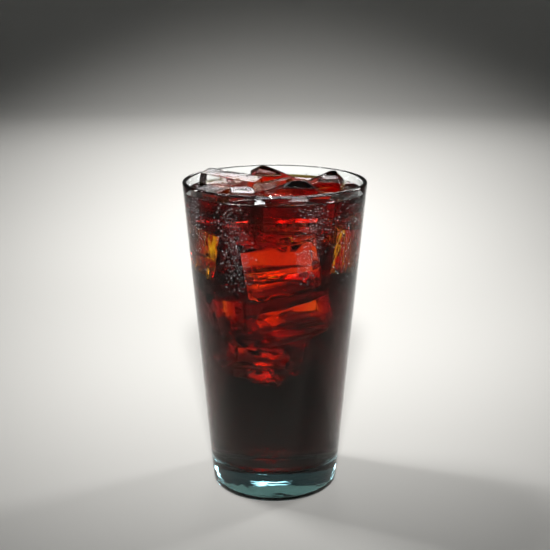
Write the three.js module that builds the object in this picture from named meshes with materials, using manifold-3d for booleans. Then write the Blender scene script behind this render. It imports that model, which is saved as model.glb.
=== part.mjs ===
// Iced coffee in a tapered glass tumbler, with the ice cubes that break its surface.
// Millimetres, +Z up. The origin is the centre of the foot, on the surface the glass stands on.
import * as THREE from 'three';
import { ConvexGeometry } from 'three/addons/geometries/ConvexGeometry.js';
import { mergeVertices } from 'three/addons/utils/BufferGeometryUtils.js';
import Module from 'manifold-3d';

const wasm = await Module();
wasm.setup();

// Driving dimensions of the glass
const glassHeight = 149.2;
const rimRadius = 42.9;
const footRadius = 30.5;
const footFillet = 1.5;
const rimWall = 2.2;
const footWall = 3.2;
const baseThickness = 12.9;
const floorFillet = 4.5;
const floorDish = 0.5;
const standingRingInner = 22;
const puntDepth = 1.4;

// Driving dimensions of what it holds
const freeboard = 6;
const pieceGap = 0.3;

const turns = 72;
const filletSteps = 3;
const lipSteps = 6;
const puntSteps = 3;

const wallTaper = (rimRadius - footRadius) / glassHeight;
const fillLevel = glassHeight - freeboard;
const lipRadius = rimWall / 2;

function outerRadius(z) {
  return footRadius + wallTaper * z;
}

function innerRadius(z) {
  return outerRadius(z) - THREE.MathUtils.lerp(footWall, rimWall, z / glassHeight);
}

// Points on a circle's arc, both ends included, with angles in degrees from the outward direction.
function arc(centreR, centreZ, radius, fromDeg, toDeg, steps) {
  const points = [];
  for (let i = 0; i <= steps; i += 1) {
    const angle = THREE.MathUtils.degToRad(THREE.MathUtils.lerp(fromDeg, toDeg, i / steps));
    points.push(new THREE.Vector2(centreR + radius * Math.cos(angle), centreZ + radius * Math.sin(angle)));
  }
  return points;
}

// The hollow's outline from its middle, across the dished floor and up the wall, set in from the glass by a gap.
function hollowProfile(topZ, gap) {
  const filletZ = baseThickness + floorFillet;
  const filletR = innerRadius(filletZ) - floorFillet;
  const floor = new THREE.Vector2(0, baseThickness - floorDish + gap);
  const fillet = arc(filletR, filletZ, floorFillet - gap, -90, 0, filletSteps);
  const top = new THREE.Vector2(innerRadius(topZ) - gap, topZ);
  return [floor, ...fillet, top];
}

// A closed solid turned about +Z from a profile that starts and ends on the axis.
function turned(profile) {
  const geometry = new THREE.LatheGeometry(profile, turns);
  geometry.rotateX(Math.PI / 2);
  return geometry;
}

function glassGeometry() {
  const punt = [];
  for (let i = 0; i <= puntSteps; i += 1) {
    const share = i / puntSteps;
    const z = puntDepth * Math.cos(share * Math.PI / 2);
    punt.push(new THREE.Vector2(standingRingInner * share, i === puntSteps ? 0 : z));
  }
  const foot = arc(footRadius - footFillet, footFillet, footFillet, -90, 0, filletSteps);
  const lipZ = glassHeight - lipRadius;
  const lip = arc(outerRadius(lipZ) - lipRadius, lipZ, lipRadius, 0, 180, lipSteps);
  const hollow = hollowProfile(lipZ, 0).slice(0, -1).reverse();
  return turned([...punt, ...foot, ...lip, ...hollow]);
}

// Repeatable numbers from 0 to 1
function numbersFrom(seed) {
  let state = seed * 7919 + 17;
  return () => {
    state = (state * 16807) % 2147483647;
    return state / 2147483647;
  };
}

// The corner points of one worn ice cube. Each corner of a block is cut back along its three edges by an uneven
// share of its length. The crown is a short ridge above the upper face, which makes that face a low roof.
function cubePoints({ size, crown, wear = 0.14, seed }) {
  const draw = numbersFrom(seed);
  const half = size.map((length) => length / 2);
  const points = [];
  for (const sx of [-1, 1]) {
    for (const sy of [-1, 1]) {
      for (const sz of [-1, 1]) {
        for (const axis of [0, 1, 2]) {
          const corner = [sx * half[0], sy * half[1], sz * half[2]];
          corner[axis] *= 1 - wear * (0.7 + 1.3 * draw());
          points.push(new THREE.Vector3(...corner));
        }
      }
    }
  }
  if (crown) {
    for (const end of [-1, 1]) {
      points.push(new THREE.Vector3(crown.x + end * crown.ridge / 2, crown.y, half[2] + crown.rise));
    }
  }
  return points;
}

function grown(points, gap) {
  const steps = [-gap, gap];
  return points.flatMap((point) => steps.flatMap((x) => steps.flatMap((y) => steps.map((z) => (
    new THREE.Vector3(point.x + x, point.y + y, point.z + z)
  )))));
}

// A closed geometry as a solid that can be cut, in the place the matrix gives it
function solidFrom(geometry, matrix = new THREE.Matrix4()) {
  const bare = geometry.clone().applyMatrix4(matrix);
  bare.deleteAttribute('normal');
  bare.deleteAttribute('uv');
  const merged = mergeVertices(bare, 1e-4);
  const corners = merged.index.array;
  const triVerts = [];
  for (let i = 0; i < corners.length; i += 3) {
    const [a, b, c] = corners.slice(i, i + 3);
    if (a !== b && b !== c && c !== a) triVerts.push(a, b, c);
  }
  return new wasm.Manifold(new wasm.Mesh({
    numProp: 3,
    vertProperties: merged.attributes.position.array,
    triVerts: new Uint32Array(triVerts),
  }));
}

function geometryFrom(solid) {
  const { vertProperties, triVerts } = solid.getMesh();
  const geometry = new THREE.BufferGeometry();
  geometry.setAttribute('position', new THREE.BufferAttribute(vertProperties, 3));
  geometry.setIndex(new THREE.BufferAttribute(triVerts, 1));
  geometry.computeVertexNormals();
  return geometry;
}

const glassFinish = new THREE.MeshStandardMaterial({
  color: '#cfe6e4', roughness: 0.04, metalness: 0, transparent: true, opacity: 0.3,
});
const coffeeFinish = new THREE.MeshStandardMaterial({ color: '#2a0804', roughness: 0.08, metalness: 0 });
const iceFinish = new THREE.MeshStandardMaterial({
  color: '#d9e4e2', roughness: 0.1, metalness: 0, transparent: true, opacity: 0.5,
});

// The cubes at the surface: size, middle, and turns about X, Y and Z in degrees.
const surfaceCubes = [
  { name: 'ice_back_left', size: [27, 14, 14], at: [-21, 9.5, 142.8], turn: [4, 6, -16], seed: 1 },
  {
    name: 'ice_back', size: [27, 13, 18], at: [-0.3, 22.5, 136.7], turn: [8, 13, 3], seed: 2,
    crown: { x: -8, y: 0, rise: 5.5, ridge: 3 },
  },
  { name: 'ice_middle', size: [17, 9, 16], at: [0, -3, 141], turn: [-4, -9, 28], seed: 3 },
  {
    name: 'ice_front', size: [29, 13.5, 16], at: [9.5, -19, 138], turn: [-6, 3, 2], seed: 4,
    crown: { x: 1, y: 2, rise: 6, ridge: 5 },
  },
  {
    name: 'ice_right', size: [17, 14, 18], at: [24, 3, 138], turn: [8, -6, -12], seed: 5,
    crown: { x: 4.5, y: 1, rise: 6, ridge: 2.5 },
  },
  { name: 'ice_front_left', size: [15, 12, 14], at: [-28, -12, 140.3], turn: [4, -4, -38], seed: 6 },
  { name: 'ice_front_middle', size: [10.5, 11, 16], at: [-15, -21.5, 140.5], turn: [4, 4, 8], seed: 7 },
];

const drink = new THREE.Group();

function addPiece(name, geometry, finish) {
  const piece = new THREE.Mesh(geometry, finish);
  piece.name = name;
  drink.add(piece);
  return piece;
}

addPiece('glass', glassGeometry(), glassFinish);

let coffee = solidFrom(turned([...hollowProfile(fillLevel, pieceGap), new THREE.Vector2(0, fillLevel)]));
for (const cube of surfaceCubes) {
  const points = cubePoints(cube);
  const piece = addPiece(cube.name, new ConvexGeometry(points), iceFinish);
  piece.position.set(...cube.at);
  piece.rotation.set(...cube.turn.map((degrees) => THREE.MathUtils.degToRad(degrees)));
  piece.updateMatrixWorld();
  coffee = coffee.subtract(solidFrom(new ConvexGeometry(grown(points, pieceGap)), piece.matrixWorld));
}
addPiece('coffee', geometryFrom(coffee), coffeeFinish);

export default drink;
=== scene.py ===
import math
import random

import bpy
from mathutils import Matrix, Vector, noise
from mathutils.bvhtree import BVHTree


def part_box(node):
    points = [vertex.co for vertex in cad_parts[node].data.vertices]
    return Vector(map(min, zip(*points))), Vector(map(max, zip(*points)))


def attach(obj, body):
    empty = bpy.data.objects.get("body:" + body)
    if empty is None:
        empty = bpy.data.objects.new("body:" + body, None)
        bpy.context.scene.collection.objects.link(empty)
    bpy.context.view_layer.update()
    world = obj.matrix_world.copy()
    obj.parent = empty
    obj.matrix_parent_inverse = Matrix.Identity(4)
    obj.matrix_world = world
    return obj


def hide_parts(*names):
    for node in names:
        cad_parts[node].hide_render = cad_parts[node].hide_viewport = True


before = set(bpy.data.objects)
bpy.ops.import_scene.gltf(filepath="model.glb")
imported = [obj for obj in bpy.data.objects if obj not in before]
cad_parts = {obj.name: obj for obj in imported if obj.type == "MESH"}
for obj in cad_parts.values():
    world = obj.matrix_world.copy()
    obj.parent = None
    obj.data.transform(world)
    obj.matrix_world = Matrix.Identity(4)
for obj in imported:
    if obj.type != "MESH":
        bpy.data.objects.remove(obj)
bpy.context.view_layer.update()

mm = 0.001
weld = 0.01 * mm  # points nearer than this are one
smoothBelow = math.radians(35)  # edges of turned pieces that are flatter than this look round


def linear(hexColour):
    # an sRGB hex value as the linear colour that the nodes take
    parts = [int(hexColour[i:i + 2], 16) / 255 for i in (1, 3, 5)]
    return tuple(p / 12.92 if p <= 0.04045 else ((p + 0.055) / 1.055) ** 2.4 for p in parts) + (1.0,)


def addNode(tree, kind, links=(), **settings):
    # settings are node properties or, for a name in the node's inputs, socket values
    node = tree.nodes.new(kind)
    for name, value in settings.items():
        socketName = name.replace("_", " ")
        if socketName in node.inputs:
            node.inputs[socketName].default_value = value
        else:
            setattr(node, name, value)
    for source, output, socket in links:
        tree.links.new(source.outputs[output], node.inputs[socket])
    return node


def newMaterial(name):
    material = bpy.data.materials.new(name)
    material.use_nodes = True
    tree = material.node_tree
    tree.nodes.clear()
    return material, tree


def deselectAll():
    if bpy.context.object and bpy.context.object.mode != "OBJECT":
        bpy.ops.object.mode_set(mode="OBJECT")
    bpy.ops.object.select_all(action="DESELECT")


def makeActive(piece):
    deselectAll()
    piece.select_set(True)
    bpy.context.view_layer.objects.active = piece


def applyModifier(piece, kind, **settings):
    makeActive(piece)
    modifier = piece.modifiers.new(kind.lower(), kind)
    for name, value in settings.items():
        setattr(modifier, name, value)
    bpy.ops.object.modifier_apply(modifier=modifier.name)


def settle(piece):
    # the object goes back to the origin, unturned, with its place in its mesh
    makeActive(piece)
    bpy.ops.object.transform_apply(location=True, rotation=True, scale=True)


def copyPiece(piece):
    twin = piece.copy()
    twin.data = piece.data.copy()
    bpy.context.scene.collection.objects.link(twin)
    return twin


def pushOut(piece, distanceAt):
    # moves every point along its normal by the distance that a function gives for its place
    moves = [(vertex.co.copy(), vertex.normal.copy()) for vertex in piece.data.vertices]
    for vertex, (place, normal) in zip(piece.data.vertices, moves):
        vertex.co = place + normal * distanceAt(place)


def finishPiece(piece, material, slot, *nodes):
    piece.data.materials.clear()
    piece.data.materials.append(material)
    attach(piece, "root")
    if nodes:
        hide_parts(*nodes)


def turnPiece(name, rings, segments):
    # pulls a circle up through rings of (radius, height) and closes both ends on the axis
    deselectAll()
    radius, height = rings[0]
    bpy.ops.mesh.primitive_circle_add(vertices=segments, radius=radius, location=(0, 0, height))
    piece = bpy.context.object
    piece.name = name
    bpy.ops.object.mode_set(mode="EDIT")
    bpy.ops.mesh.select_all(action="SELECT")
    for nextRadius, nextHeight in rings[1:]:
        bpy.ops.mesh.extrude_region_move(TRANSFORM_OT_translate={"value": (0, 0, nextHeight - height)})
        share = nextRadius / radius
        bpy.ops.transform.resize(value=(share, share, 1))
        radius, height = nextRadius, nextHeight
    bpy.ops.mesh.merge(type="CENTER")
    bpy.ops.mesh.select_all(action="DESELECT")
    bpy.ops.mesh.select_non_manifold(extend=False, use_wire=False, use_multi_face=False,
                                     use_non_contiguous=False, use_verts=False)
    bpy.ops.mesh.merge(type="CENTER")
    bpy.ops.mesh.select_all(action="SELECT")
    bpy.ops.mesh.normals_make_consistent(inside=False)
    bpy.ops.object.mode_set(mode="OBJECT")
    settle(piece)
    bpy.ops.object.shade_smooth_by_angle(angle=smoothBelow)
    return piece


def arc(centreR, centreZ, radius, fromDeg, toDeg, steps):
    angles = [math.radians(fromDeg + (toDeg - fromDeg) * i / steps) for i in range(steps + 1)]
    return [(centreR + radius * math.cos(a), centreZ + radius * math.sin(a)) for a in angles]


def straight(start, end, steps):
    # the points after start on the way to end
    return [tuple(s + (e - s) * i / steps for s, e in zip(start, end)) for i in range(1, steps + 1)]


# Camera at the photo's angle
print("camera")
photo = {
    "place": (0.12 * mm, -470.1 * mm, 233.1 * mm),
    "pitch": 15.449,  # degrees below level
    "focalPixels": 1025.75,
    "width": 550,
    "sensor": 36.0,
}
bpy.ops.object.camera_add(location=photo["place"], rotation=(math.radians(90 - photo["pitch"]), 0, 0))
camera = bpy.context.object
camera.data.sensor_width = photo["sensor"]
camera.data.lens = photo["sensor"] * photo["focalPixels"] / photo["width"]
camera.data.clip_start = 0.01
camera.data.clip_end = 20
bpy.context.scene.camera = camera

# Studio: a pale floor that rises all round like a bowl, lit by soft lights. The floor is bright well behind
# the glass and dim close to it, so the drink glows where ice lets light through and its front stays dark.
print("studio")
studio = {
    "discRadius": 0.25,
    "segments": 96,
    "floorRadius": 1.6,
    "sweepRadius": 0.9,
    "wallHeight": 1.9,
    "floorColour": "#dcdad5",
    "worldColour": "#c9cfd2",
    "worldStrength": 0.09,
}
disc = (studio["discRadius"], 0)
floorRings = [disc, *straight(disc, (studio["floorRadius"], 0), 6)]
floorRings += arc(studio["floorRadius"], studio["sweepRadius"], studio["sweepRadius"], -90, 0, 12)[1:]
floorRings += [(studio["floorRadius"] + studio["sweepRadius"], studio["wallHeight"])]
deselectAll()
bpy.ops.mesh.primitive_circle_add(vertices=studio["segments"], radius=studio["discRadius"], fill_type="NGON")
floor = bpy.context.object
floor.name = "studioFloor"
bpy.ops.object.mode_set(mode="EDIT")
bpy.ops.mesh.select_all(action="SELECT")
for (radius, height), (nextRadius, nextHeight) in zip(floorRings, floorRings[1:]):
    bpy.ops.mesh.extrude_edges_move(TRANSFORM_OT_translate={"value": (0, 0, nextHeight - height)})
    share = nextRadius / radius
    bpy.ops.transform.resize(value=(share, share, 1))
bpy.ops.object.mode_set(mode="OBJECT")
bpy.ops.object.shade_smooth()
floorMaterial, tree = newMaterial("paintedFloor")
paint = addNode(tree, "ShaderNodeBsdfPrincipled", Base_Color=linear(studio["floorColour"]), Roughness=0.9)
addNode(tree, "ShaderNodeOutputMaterial", [(paint, "BSDF", "Surface")])
floor.data.materials.append(floorMaterial)

world = bpy.data.worlds.new("studioAir")
world.use_nodes = True
world.node_tree.nodes["Background"].inputs["Color"].default_value = linear(studio["worldColour"])
world.node_tree.nodes["Background"].inputs["Strength"].default_value = studio["worldStrength"]
bpy.context.scene.world = world

softLights = [
    {"name": "front", "place": (0.0, -1.15, 0.95), "aim": (0, 0.72, 0),
     "size": (0.2, 0.2), "spread": 28, "power": 2.9},
    {"name": "far", "place": (0.0, 1.15, 1.30), "aim": (0, 1.15, 0),
     "size": (0.5, 0.5), "spread": 60, "power": 1.1},
    {"name": "key", "place": (-0.42, 0.22, 0.85), "aim": (0.02, 0.0, 0.05),
     "size": (0.16, 0.16), "spread": 34, "power": 0.09},
    {"name": "window", "place": (0.05, 1.00, 0.68), "aim": (0, 0, 0.20),
     "size": (1.1, 0.3), "spread": 24, "power": 0.2},
    {"name": "right", "place": (0.75, 0.50, 0.40), "aim": (0, 0, 0.10),
     "size": (0.15, 0.8), "spread": 40, "power": 0.35},
    {"name": "left", "place": (-0.80, 0.35, 0.40), "aim": (0, 0, 0.10),
     "size": (0.06, 0.7), "spread": 40, "power": 0.22},
]
for light in softLights:
    bpy.ops.object.light_add(type="AREA", location=light["place"])
    lamp = bpy.context.object
    lamp.name = light["name"]
    lamp.data.shape = "RECTANGLE"
    lamp.data.size, lamp.data.size_y = light["size"]
    lamp.data.energy = light["power"]
    lamp.data.spread = math.radians(light["spread"])
    aim = Vector(light["aim"]) - lamp.location
    lamp.rotation_euler = aim.to_track_quat("-Z", "Y").to_euler()

scene = bpy.context.scene
scene.view_settings.view_transform = "Standard"
scene.cycles.max_bounces = 48
scene.cycles.transmission_bounces = 48
scene.cycles.glossy_bounces = 16
scene.cycles.caustics_refractive = False
# The denoiser reads clean colours and normals, which keeps the fine beads of dew apart
scene.cycles.use_denoising = True
scene.cycles.denoising_input_passes = "RGB_ALBEDO_NORMAL"
scene.cycles.denoising_prefilter = "ACCURATE"

# The tumbler, turned from one outline
print("glass")
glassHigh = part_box("glass")[1]
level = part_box("coffee")[1].z
tumbler = {
    "rimWall": 2.2 * mm,
    "footWall": 3.2 * mm,
    "footRadius": 30.5 * mm,
    "footFillet": 1.5 * mm,
    "baseThickness": 12.9 * mm,
    "floorFillet": 4.5 * mm,
    "floorDish": 0.5 * mm,
    "standingRing": 22 * mm,
    "punt": 1.4 * mm,
    "segments": 192,
    "rippleTop": 18 * mm,
    "rippleFull": 6 * mm,
    "waveSize": 7 * mm,
    "waveDepth": 0.5 * mm,
}
lipRadius = tumbler["rimWall"] / 2
lipHeight = glassHigh.z - lipRadius
wallTaper = (glassHigh.x - tumbler["footRadius"]) / lipHeight


def outerRadius(z):
    return tumbler["footRadius"] + wallTaper * z


def innerRadius(z):
    share = z / glassHigh.z
    return outerRadius(z) - tumbler["footWall"] * (1 - share) - tumbler["rimWall"] * share


def hollowRings(topZ, inset):
    # the hollow's outline from near its middle out over the dished floor and up the wall
    filletZ = tumbler["baseThickness"] + tumbler["floorFillet"]
    filletR = innerRadius(filletZ) - tumbler["floorFillet"]
    corner = arc(filletR, filletZ, tumbler["floorFillet"] - inset, -90, 0, 8)
    dish = []
    for share in (0.1, 0.3, 0.5, 0.7, 0.85, 0.95):
        dip = tumbler["floorDish"] * (1 - share * share)
        dish.append((filletR * share, tumbler["baseThickness"] + inset - dip))
    wallTop = (innerRadius(topZ) - inset, topZ)
    return dish + corner + straight(corner[-1], wallTop, 24)


def glassRings():
    ring = tumbler["standingRing"]
    punt = []
    for share in (0.05, 0.25, 0.5, 0.7, 0.85, 0.95, 1.0):
        punt.append((ring * share, tumbler["punt"] * math.cos(share * math.pi / 2)))
    fillet = tumbler["footFillet"]
    flat = straight(punt[-1], (tumbler["footRadius"] - fillet, 0), 3)[:-1]
    foot = arc(tumbler["footRadius"] - fillet, fillet, fillet, -90, 0, 6)
    lip = arc(outerRadius(lipHeight) - lipRadius, lipHeight, lipRadius, 0, 180, 12)
    wall = straight(foot[-1], lip[0], 30)[:-1]
    hollow = hollowRings(lipHeight, 0)[:-1][::-1]
    return punt + flat + foot + wall + lip + hollow


glass = turnPiece("tumbler", glassRings(), tumbler["segments"])

# Pressed soda-lime glass: hard and glossy with a blue-green cast in its thick foot. The waves that pressing
# leaves are strong at the foot, where they break up what shines through, and hardly there on the wall.
glassMaterial, tree = newMaterial("pressedSodaGlass")
place = addNode(tree, "ShaderNodeTexCoord")
height = addNode(tree, "ShaderNodeSeparateXYZ", [(place, "Object", "Vector")])
nearFoot = addNode(tree, "ShaderNodeMapRange", [(height, "Z", "Value")], From_Min=tumbler["rippleFull"],
                   From_Max=tumbler["rippleTop"], To_Min=1.0, To_Max=0.06)
waves = addNode(tree, "ShaderNodeTexNoise", [(place, "Object", "Vector")], Scale=1 / tumbler["waveSize"],
                Detail=2.0)
pressing = addNode(tree, "ShaderNodeMath", [(nearFoot, "Result", 0), (waves, "Fac", 1)], operation="MULTIPLY")
relief = addNode(tree, "ShaderNodeBump", [(pressing, "Value", "Height")], Strength=0.6,
                 Distance=tumbler["waveDepth"])
body = addNode(tree, "ShaderNodeBsdfPrincipled", [(relief, "Normal", "Normal")], Base_Color=linear("#ffffff"),
               Roughness=0.0, IOR=1.5, Transmission_Weight=1.0, Specular_Tint=linear("#bcbcbc"))
tint = addNode(tree, "ShaderNodeVolumeAbsorption", Color=linear("#93d2da"), Density=36.0)
addNode(tree, "ShaderNodeOutputMaterial", [(body, "BSDF", "Surface"), (tint, "Volume", "Volume")])
finishPiece(glass, glassMaterial, "glass", "glass")

# Clear ice: worn blocks with cut corners. Those at the surface show more wear than the sunk ones.
print("ice")
surfaceWear = {
    "edge": 0.6 * mm,
    "swell": 0.22 * mm,
    "pits": 0.05 * mm,
    "levels": 3,
    "keptShare": 0.35,  # of the triangles, once the wear is in
    "crease": 16,  # degrees
}
sunkWear = {
    "edge": 1.1 * mm,
    "swell": 0.12 * mm,
    "pits": 0.0,
    "levels": 2,
    "keptShare": 0.25,
    "crease": 60,
}
wearGrain = {
    "swellSize": 7 * mm,
    "pitSize": 1.3 * mm,
    "flatWithin": 3,  # degrees
    "roundness": 0.6,
    "seedShift": (0.37, 0.11, 0.23),  # gives each piece its own part of the noise
}


def wearIce(piece, seed, wear):
    # rounds the edges, divides the faces and lets the melt hollow them a little
    makeActive(piece)
    bpy.ops.object.mode_set(mode="EDIT")
    bpy.ops.mesh.select_all(action="SELECT")
    bpy.ops.mesh.remove_doubles(threshold=weld)
    bpy.ops.mesh.dissolve_limited(angle_limit=math.radians(wearGrain["flatWithin"]))
    bpy.ops.mesh.select_all(action="SELECT")
    bpy.ops.mesh.normals_make_consistent(inside=False)
    bpy.ops.mesh.bevel(offset=wear["edge"], segments=2, profile=wearGrain["roundness"], clamp_overlap=True)
    bpy.ops.object.mode_set(mode="OBJECT")
    settle(piece)
    applyModifier(piece, "TRIANGULATE")
    levels = wear["levels"]
    applyModifier(piece, "SUBSURF", subdivision_type="SIMPLE", levels=levels, render_levels=levels)
    applyModifier(piece, "TRIANGULATE")
    shift = Vector([seed * step for step in wearGrain["seedShift"]])

    def melt(place):
        swell = wear["swell"] * noise.noise(place / wearGrain["swellSize"] + shift)
        return swell + wear["pits"] * noise.noise(place / wearGrain["pitSize"] + shift)

    pushOut(piece, melt)
    applyModifier(piece, "DECIMATE", ratio=wear["keptShare"])
    bpy.ops.object.shade_smooth_by_angle(angle=math.radians(wear["crease"]))


def copyNode(node, name):
    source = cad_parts[node]
    piece = bpy.data.objects.new(name, source.data.copy())
    bpy.context.scene.collection.objects.link(piece)
    return piece


def wrapHull(piece):
    # gives a piece the closed convex skin of its points
    makeActive(piece)
    bpy.ops.object.mode_set(mode="EDIT")
    bpy.ops.mesh.select_all(action="SELECT")
    bpy.ops.mesh.remove_doubles(threshold=weld)
    bpy.ops.mesh.delete(type="EDGE_FACE")
    bpy.ops.mesh.select_all(action="SELECT")
    bpy.ops.mesh.convex_hull(join_triangles=True)
    bpy.ops.mesh.normals_make_consistent(inside=False)
    bpy.ops.object.mode_set(mode="OBJECT")
    settle(piece)


def growCopy(piece, distance):
    # a convex copy that stands off the piece all round
    twin = copyPiece(piece)
    pushOut(twin, lambda place: distance)
    wrapHull(twin)
    return twin


packing = {
    "margin": 0.9 * mm,  # round each piece
    "clearance": 0.6 * mm,  # to the glass
    "cover": 1.4 * mm,  # of coffee over the sunk ice
    "cornerCut": 0.14,  # of a block's shortest side
    "unevenness": 0.4,  # of that cut
    "unevenSeed": 3,
    "wearSeed": 20,
    "roomSegments": 96,
}
keepOut = []  # a grown copy of each whole block made so far, which later blocks are cut with
surfaceIce = []
for number, node in enumerate(sorted(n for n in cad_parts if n.startswith("ice_"))):
    cube = copyNode(node, node.replace("ice_", "cube_"))
    wrapHull(cube)
    keepOut.append(growCopy(cube, packing["margin"]))
    wearIce(cube, number + 1, surfaceWear)
    surfaceIce.append((cube, node))

# Size and middle in millimetres, turns in degrees. The first nine fill the glass from its surface down to
# its middle, and the rest are chips between the cubes at the surface.
sunkBlocks = [
    {"size": (32, 31, 24), "place": (1, -19, 116), "turn": (8, -10, 8)},
    {"size": (27, 28, 16), "place": (9, -16, 88), "turn": (-3, -18, -8)},
    {"size": (23, 26, 16), "place": (-8, -14, 68), "turn": (3, 10, 10)},
    {"size": (14, 28, 18), "place": (-21, -9, 91), "turn": (7, -9, 10)},
    {"size": (18, 46, 22), "place": (-29, -3, 121), "turn": (4, 8, -12)},
    {"size": (18, 46, 20), "place": (29, -3, 118), "turn": (-6, 10, 12)},
    {"size": (38, 34, 25), "place": (0, 21, 115), "turn": (4, 10, 4)},
    {"size": (36, 32, 17), "place": (1, 18, 88.5), "turn": (4, -9, 4)},
    {"size": (27, 27, 17), "place": (-1, 17, 67), "turn": (4, 8, -10)},
    {"size": (25, 13, 13), "place": (5, -33, 134.5), "turn": (4, 6, 3)},
    {"size": (15, 12, 12), "place": (-15, -33, 133), "turn": (-6, 8, -14)},
    {"size": (18, 15, 14), "place": (28, -22, 133), "turn": (6, -8, 40)},
    {"size": (8, 18, 12), "place": (36.5, -3, 132), "turn": (4, 6, 4)},
    {"size": (30, 14, 16), "place": (6, 10.5, 132), "turn": (3, 4, 6)},
    {"size": (24, 21, 15), "place": (24, 24, 133), "turn": (4, 8, -20)},
    {"size": (24, 21, 14), "place": (-24, 24, 132), "turn": (4, -8, 18)},
]
roomRings = hollowRings(level - packing["cover"], packing["clearance"])
room = turnPiece("iceRoom", roomRings, packing["roomSegments"])


def addBlock(settings, number):
    # a cube with cut corners and uneven faces, trimmed to what the glass and the earlier pieces leave free
    size = [length * mm for length in settings["size"]]
    deselectAll()
    bpy.ops.mesh.primitive_cube_add(size=1, location=[p * mm for p in settings["place"]],
                                    rotation=[math.radians(a) for a in settings["turn"]])
    piece = bpy.context.object
    piece.name = f"sunkIce{number}"
    piece.scale = size
    bpy.ops.object.transform_apply(location=False, rotation=False, scale=True)
    bpy.ops.object.mode_set(mode="EDIT")
    bpy.ops.mesh.select_all(action="SELECT")
    cornerCut = packing["cornerCut"] * min(size)
    bpy.ops.mesh.bevel(offset=cornerCut, segments=1, affect="VERTICES")
    unevenness = packing["unevenness"] * cornerCut
    bpy.ops.transform.vertex_random(offset=unevenness, seed=number + packing["unevenSeed"])
    wrapHull(piece)
    whole = growCopy(piece, packing["margin"])
    applyModifier(piece, "BOOLEAN", operation="INTERSECT", object=room, solver="MANIFOLD")
    for other in keepOut:
        applyModifier(piece, "BOOLEAN", operation="DIFFERENCE", object=other, solver="MANIFOLD")
    keepOut.append(whole)
    wearIce(piece, number + packing["wearSeed"], sunkWear)
    return piece


sunkIce = [addBlock(settings, number) for number, settings in enumerate(sunkBlocks, 1)]
for helper in [room, *keepOut]:
    bpy.data.objects.remove(helper)

# Wet ice: glassy, with shallow melt ripples that break up what it mirrors
ripples = {"size": 2.4 * mm, "depth": 0.3 * mm}
iceMaterial, tree = newMaterial("clearWetIce")
place = addNode(tree, "ShaderNodeTexCoord")
ripple = addNode(tree, "ShaderNodeTexNoise", [(place, "Object", "Vector")], Scale=1 / ripples["size"],
                 Detail=3.0, Roughness=0.6)
relief = addNode(tree, "ShaderNodeBump", [(ripple, "Fac", "Height")], Strength=0.9, Distance=ripples["depth"])
body = addNode(tree, "ShaderNodeBsdfPrincipled", [(relief, "Normal", "Normal")], Base_Color=linear("#ffffff"),
               Roughness=0.0, IOR=1.31, Transmission_Weight=1.0)
addNode(tree, "ShaderNodeOutputMaterial", [(body, "BSDF", "Surface")])
for cube, node in surfaceIce:
    finishPiece(cube, iceMaterial, "ice", node)

# Sunk ice bends light almost as the drink does, so its faces hardly mirror anything. Patches of melt haze
# and a faint unevenness soften the edges of what glows through it.
patches = {"size": 5 * mm, "depth": 0.3 * mm}
sunkMaterial, tree = newMaterial("clearSunkIce")
place = addNode(tree, "ShaderNodeTexCoord")
melt = addNode(tree, "ShaderNodeTexNoise", [(place, "Object", "Vector")], Scale=1 / patches["size"],
               Detail=2.0)
haze = addNode(tree, "ShaderNodeMapRange", [(melt, "Fac", "Value")], To_Min=0.0, To_Max=0.07)
relief = addNode(tree, "ShaderNodeBump", [(melt, "Fac", "Height")], Strength=0.12, Distance=patches["depth"])
links = [(haze, "Result", "Roughness"), (relief, "Normal", "Normal")]
body = addNode(tree, "ShaderNodeBsdfPrincipled", links, Base_Color=linear("#ffffff"), IOR=1.31,
               Transmission_Weight=1.0, Specular_Tint=linear("#000000"))
addNode(tree, "ShaderNodeOutputMaterial", [(body, "BSDF", "Surface")])
for block in sunkIce:
    finishPiece(block, sunkMaterial, "ice")

# The coffee fills the glass and climbs a little at the wall and round the ice
print("coffee")
drink = {
    "reach": 0.03 * mm,
    "wallClimb": 1.6 * mm,
    "iceClimb": 1.1 * mm,
    "climbWidth": 2.4 * mm,
    "iceOverlap": 0.03 * mm,
    "ringStep": 0.9 * mm,
    "segments": 224,
    "swirlSize": 8 * mm,
    "swirlDepth": 0.2 * mm,
}
topZ = level + drink["wallClimb"]
rings = hollowRings(topZ, -drink["reach"])
surfaceRadius = rings[-1][0]
steps = int(surfaceRadius / drink["ringStep"])
rings += [(surfaceRadius * (1 - i / steps), topZ) for i in range(1, steps)]
coffee = turnPiece("brew", rings, drink["segments"])

cutters = []
for piece in [cube for cube, node in surfaceIce] + sunkIce:
    cutter = copyPiece(piece)
    pushOut(cutter, lambda place: -drink["iceOverlap"])
    cutters.append(cutter)
makeActive(cutters[0])
for cutter in cutters[1:]:
    cutter.select_set(True)
bpy.ops.object.join()
iceCutter = bpy.context.object
settle(iceCutter)

iceTree = BVHTree.FromPolygons([v.co for v in iceCutter.data.vertices],
                               [tuple(p.vertices) for p in iceCutter.data.polygons])
for vertex in coffee.data.vertices:
    if vertex.co.z > topZ - weld:
        outward = math.hypot(vertex.co.x, vertex.co.y)
        toWall = max(surfaceRadius - drink["reach"] - outward, 0)
        flat = Vector((vertex.co.x, vertex.co.y, level))
        toIce = iceTree.find_nearest(flat)[3]
        climb = drink["wallClimb"] * math.exp(-toWall / drink["climbWidth"])
        climb = max(climb, drink["iceClimb"] * math.exp(-toIce / drink["climbWidth"]))
        vertex.co.z = level + climb
applyModifier(coffee, "BOOLEAN", operation="DIFFERENCE", object=iceCutter, solver="MANIFOLD")
bpy.data.objects.remove(iceCutter)
makeActive(coffee)
bpy.ops.object.shade_smooth_by_angle(angle=smoothBelow)

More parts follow.
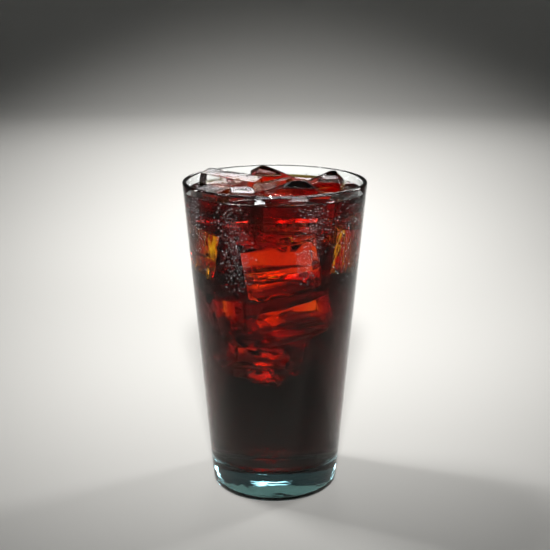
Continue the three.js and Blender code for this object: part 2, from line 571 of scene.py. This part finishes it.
# Black coffee: clear but very dark, amber where it is a few millimetres deep, red at about ten and black
# beyond. A faint swirl on its faces keeps the glows from looking like flat panes.
coffeeMaterial, tree = newMaterial("blackCoffee")
place = addNode(tree, "ShaderNodeTexCoord")
swirl = addNode(tree, "ShaderNodeTexNoise", [(place, "Object", "Vector")], Scale=1 / drink["swirlSize"],
                Detail=1.0)
relief = addNode(tree, "ShaderNodeBump", [(swirl, "Fac", "Height")], Strength=0.15,
                 Distance=drink["swirlDepth"])
body = addNode(tree, "ShaderNodeBsdfPrincipled", [(relief, "Normal", "Normal")], Base_Color=linear("#ffffff"),
               Roughness=0.0, IOR=1.333, Transmission_Weight=1.0, Specular_Tint=linear("#000000"))
strength = {"density": 2400.0, "taken": (72.0, 440.0, 2400.0)}  # per metre, for red, green and blue
passed = [1 - t / strength["density"] for t in strength["taken"]] + [1.0]
depth = addNode(tree, "ShaderNodeVolumeAbsorption", Color=passed, Density=strength["density"])
addNode(tree, "ShaderNodeOutputMaterial", [(body, "BSDF", "Surface"), (depth, "Volume", "Volume")])
finishPiece(coffee, coffeeMaterial, "coffee", "coffee")

# Condensation: fine flattened beads of water, thick in a few patches where warm air meets the cold wall
print("condensation")
dew = {
    "seed": 7,
    "sink": 0.02 * mm,
    "radii": (0.12 * mm, 0.30 * mm),
    "gap": 0.45 * mm,
    "flatness": 0.7,
    "keptBelow": 0.05,  # of its radius, that a bead keeps below its middle
    "filmSize": 2 * mm,
    "fineness": 2.4,  # the higher, the more beads are small
    "crowding": 0.6,  # how much of its patch's width and height the beads keep to
    "belowLip": 2 * mm,
    # Angles are degrees from the front, and heights are millimetres
    "patches": [
        {"angle": -27, "height": 134, "wide": 8, "tall": 11, "count": 300},
        {"angle": -24, "height": 117, "wide": 7, "tall": 10, "count": 300},
        {"angle": 24, "height": 136, "wide": 8, "tall": 12, "count": 300},
        {"angle": 20, "height": 119, "wide": 5, "tall": 6, "count": 230},
        {"angle": -60, "height": 134, "wide": 9, "tall": 13, "count": 260},
        {"angle": 52, "height": 128, "wide": 11, "tall": 16, "count": 150},
        {"angle": 105, "height": 124, "wide": 18, "tall": 14, "count": 300},
        {"angle": 160, "height": 130, "wide": 16, "tall": 12, "count": 300},
        {"angle": -145, "height": 126, "wide": 15, "tall": 15, "count": 300},
        {"angle": -105, "height": 120, "wide": 14, "tall": 13, "count": 230},
    ],
}
deselectAll()
bpy.ops.mesh.primitive_uv_sphere_add(segments=6, ring_count=4, radius=1)
bead = bpy.context.object
bpy.ops.object.mode_set(mode="EDIT")
bpy.ops.mesh.select_all(action="SELECT")
bpy.ops.mesh.bisect(plane_co=(0, 0, -dew["keptBelow"]), plane_no=(0, 0, 1), clear_inner=True, use_fill=True)
bpy.ops.object.mode_set(mode="OBJECT")
beadPoints = [vertex.co.copy() for vertex in bead.data.vertices]
beadFaces = [tuple(face.vertices) for face in bead.data.polygons]
bpy.data.objects.remove(bead)

draw = random.Random(dew["seed"])
points, faces = [], []
for patch in dew["patches"]:
    spots = []
    for _ in range(patch["count"]):
        angle = math.radians(patch["angle"] + draw.gauss(0, patch["wide"]) * dew["crowding"])
        height = patch["height"] * mm + draw.gauss(0, patch["tall"] * mm) * dew["crowding"]
        small, large = dew["radii"]
        radius = small + (large - small) * draw.random() ** dew["fineness"]
        spot = Vector((angle * outerRadius(height), height))
        crowded = any((spot - other).length < radius + reach + dew["gap"] for other, reach in spots)
        if crowded or height > lipHeight - dew["belowLip"]:
            continue
        spots.append((spot, radius))
        outward = Vector((math.sin(angle), -math.cos(angle), -wallTaper)).normalized()
        turn = outward.to_track_quat("Z", "Y")
        foot = Vector((math.sin(angle), -math.cos(angle), 0)) * (outerRadius(height) - dew["sink"])
        foot.z = height
        start = len(points)
        for point in beadPoints:
            shaped = Vector((point.x, point.y, point.z * dew["flatness"])) * radius
            points.append(foot + turn @ shaped)
        faces.extend(tuple(start + corner for corner in face) for face in beadFaces)
beads = bpy.data.meshes.new("dewBeads")
beads.from_pydata(points, [], faces)
dewPiece = bpy.data.objects.new("dewBeads", beads)
bpy.context.scene.collection.objects.link(dewPiece)
makeActive(dewPiece)
bpy.ops.object.shade_smooth()

# Chilled dew: beads so fine that part of the light scatters in them, which makes them read as pale specks,
# some duller than others where a film of mist lies over them
dewMaterial, tree = newMaterial("waterBeads")
place = addNode(tree, "ShaderNodeTexCoord")
film = addNode(tree, "ShaderNodeTexNoise", [(place, "Object", "Vector")], Scale=1 / dew["filmSize"])
dull = addNode(tree, "ShaderNodeMapRange", [(film, "Fac", "Value")], To_Min=0.0, To_Max=0.12)
body = addNode(tree, "ShaderNodeBsdfPrincipled", [(dull, "Result", "Roughness")],
               Base_Color=linear("#cdd5d8"), IOR=1.333, Transmission_Weight=0.4)
addNode(tree, "ShaderNodeOutputMaterial", [(body, "BSDF", "Surface")])
finishPiece(dewPiece, dewMaterial, "glass")
